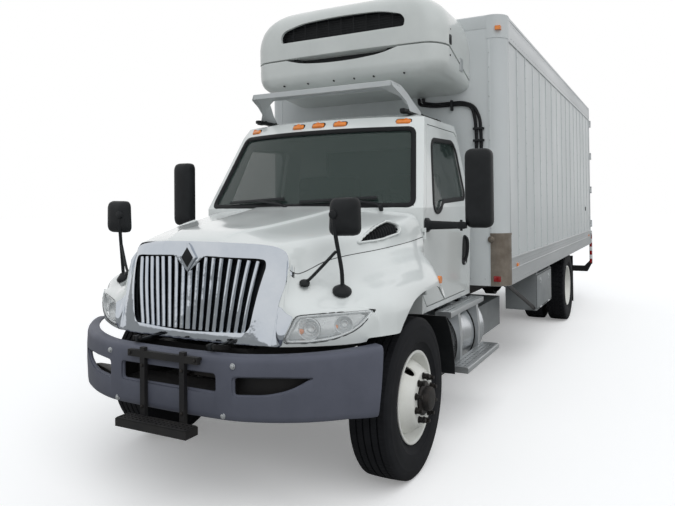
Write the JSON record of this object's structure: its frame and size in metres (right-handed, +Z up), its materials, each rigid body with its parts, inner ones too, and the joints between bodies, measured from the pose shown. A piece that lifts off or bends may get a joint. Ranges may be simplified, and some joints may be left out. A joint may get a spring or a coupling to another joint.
{
  "type": "refrigerated truck",
  "caption": "Two-axle bonneted truck with a day cab, twin rear wheels and an insulated box body with a nose-mounted cooling unit.",
  "frame": {"origin": "on the ground, at the middle of the truck in length and width", "axes": "+Z up, the truck faces -Y, +X is its left side"},
  "size_m": [2.96, 10.04, 3.6499],
  "materials": {
    "white_paint": "glossy white paint",
    "frame_black": "satin black chassis paint",
    "tyre_rubber": "dull black rubber",
    "wheel_white": "white painted steel",
    "forged_steel": "dark forged steel",
    "aluminium": "mill finish aluminium",
    "box_white": "white pre-painted aluminium sheet",
    "chrome": "bright chrome",
    "grey_plastic": "grained grey plastic",
    "black_plastic": "grained black plastic",
    "glass": "tinted glass",
    "lamp_lens": "clear lens over a bright reflector",
    "amber_lens": "amber lens",
    "red_lens": "red lens",
    "rubber": "black rubber",
    "fabric": "grey woven fabric"
  },
  "bodies": {
    "chassis": {"frame": "frame_black", "leaf_springs": "frame_black", "front_axle": "forged_steel", "rear_axle": "forged_steel", "powertrain": "forged_steel", "radiator": "black_plastic", "front_bumper": "grey_plastic", "bumper_step": "frame_black", "fuel_tank": "aluminium", "battery_box": "frame_black", "cab_steps": "aluminium", "cab_windows": "glass", "cab_shell": "white_paint", "splash_guards": "black_plastic", "seats": "fabric", "dashboard": "grey_plastic", "box_floor": "aluminium", "box_side_walls": "box_white", "box_front_wall": "box_white", "box_roof": "aluminium", "box_rear_frame": "aluminium", "unit_shroud": "white_paint", "unit_cowl": "white_paint", "unit_grilles": "black_plastic", "unit_hoses": "rubber", "roof_guard": "aluminium", "side_lockers": "frame_black", "mud_flaps": "rubber", "rear_bumper": "frame_black", "marker_lamps": "amber_lens", "rear_lamps": "red_lens"},
    "hood_assembly": {"hood": "white_paint", "grille": "chrome", "headlamps": "lamp_lens", "hood_vents": "black_plastic", "hood_mirrors": "black_plastic", "fender_lamps": "amber_lens"},
    "left_door": {"door_left": "white_paint", "door_glass_left": "glass", "mirror_left": "black_plastic"},
    "right_door": {"door_right": "white_paint", "door_glass_right": "glass", "mirror_right": "black_plastic"},
    "left_knuckle": {"knuckle_left": "forged_steel"},
    "right_knuckle": {"knuckle_right": "forged_steel"},
    "steering_link": {"tie_rod": "forged_steel"},
    "front_wheel_left": {"front_tyre_left": "tyre_rubber", "front_rim_left": "wheel_white"},
    "front_wheel_right": {"front_tyre_right": "tyre_rubber", "front_rim_right": "wheel_white"},
    "rear_wheels_left": {"rear_tyres_left": "tyre_rubber", "rear_rims_left": "wheel_white"},
    "rear_wheels_right": {"rear_tyres_right": "tyre_rubber", "rear_rims_right": "wheel_white"},
    "left_cargo_door": {"cargo_door_left": "box_white"},
    "right_cargo_door": {"cargo_door_right": "box_white"}
  },
  "joints": [
    {"name": "hood_tilt", "type": "hinge", "parent": "chassis", "child": "hood_assembly", "pos_m": [0, -4.825, 0.99], "axis": [1, 0, 0], "range_deg": [0, 60]},
    {"name": "left_door_hinge", "type": "hinge", "parent": "chassis", "child": "left_door", "pos_m": [1.009, -3.284, 1.4], "axis": [0, 0, -1], "range_deg": [0, 65]},
    {"name": "right_door_hinge", "type": "hinge", "parent": "chassis", "child": "right_door", "pos_m": [-1.009, -3.284, 1.4], "axis": [0, 0, 1], "range_deg": [0, 65]},
    {"name": "left_steering", "type": "hinge", "parent": "chassis", "child": "left_knuckle", "pos_m": [0.82, -3.75, 0.52], "axis": [0, 0, 1], "range_deg": [-35, 35]},
    {"name": "right_steering", "type": "hinge", "parent": "chassis", "child": "right_knuckle", "pos_m": [-0.82, -3.75, 0.52], "axis": [0, 0, 1], "range_deg": [-35, 35]},
    {"name": "tie_rod_pivot", "type": "hinge", "parent": "left_knuckle", "child": "steering_link", "pos_m": [0.82, -3.55, 0.4], "axis": [0, 0, 1], "range_deg": [-35, 35]},
    {"name": "front_wheel_left_spin", "type": "hinge", "parent": "left_knuckle", "child": "front_wheel_left", "pos_m": [0.985, -3.75, 0.52], "axis": [1, 0, 0], "continuous": true},
    {"name": "front_wheel_right_spin", "type": "hinge", "parent": "right_knuckle", "child": "front_wheel_right", "pos_m": [-0.985, -3.75, 0.52], "axis": [1, 0, 0], "continuous": true},
    {"name": "rear_wheels_left_spin", "type": "hinge", "parent": "chassis", "child": "rear_wheels_left", "pos_m": [0.895, 2.53, 0.52], "axis": [1, 0, 0], "continuous": true},
    {"name": "rear_wheels_right_spin", "type": "hinge", "parent": "chassis", "child": "rear_wheels_right", "pos_m": [-0.895, 2.53, 0.52], "axis": [1, 0, 0], "continuous": true},
    {"name": "left_cargo_hinge", "type": "hinge", "parent": "chassis", "child": "left_cargo_door", "pos_m": [1.3, 4.825, 2.3], "axis": [0, 0, -1], "range_deg": [0, 270]},
    {"name": "right_cargo_hinge", "type": "hinge", "parent": "chassis", "child": "right_cargo_door", "pos_m": [-1.3, 4.825, 2.3], "axis": [0, 0, 1], "range_deg": [0, 270]}
  ],
  "couplings": [
    {"joint": "right_steering", "follows": "left_steering", "ratio": 1},
    {"joint": "tie_rod_pivot", "follows": "left_steering", "ratio": -1}
  ]
}
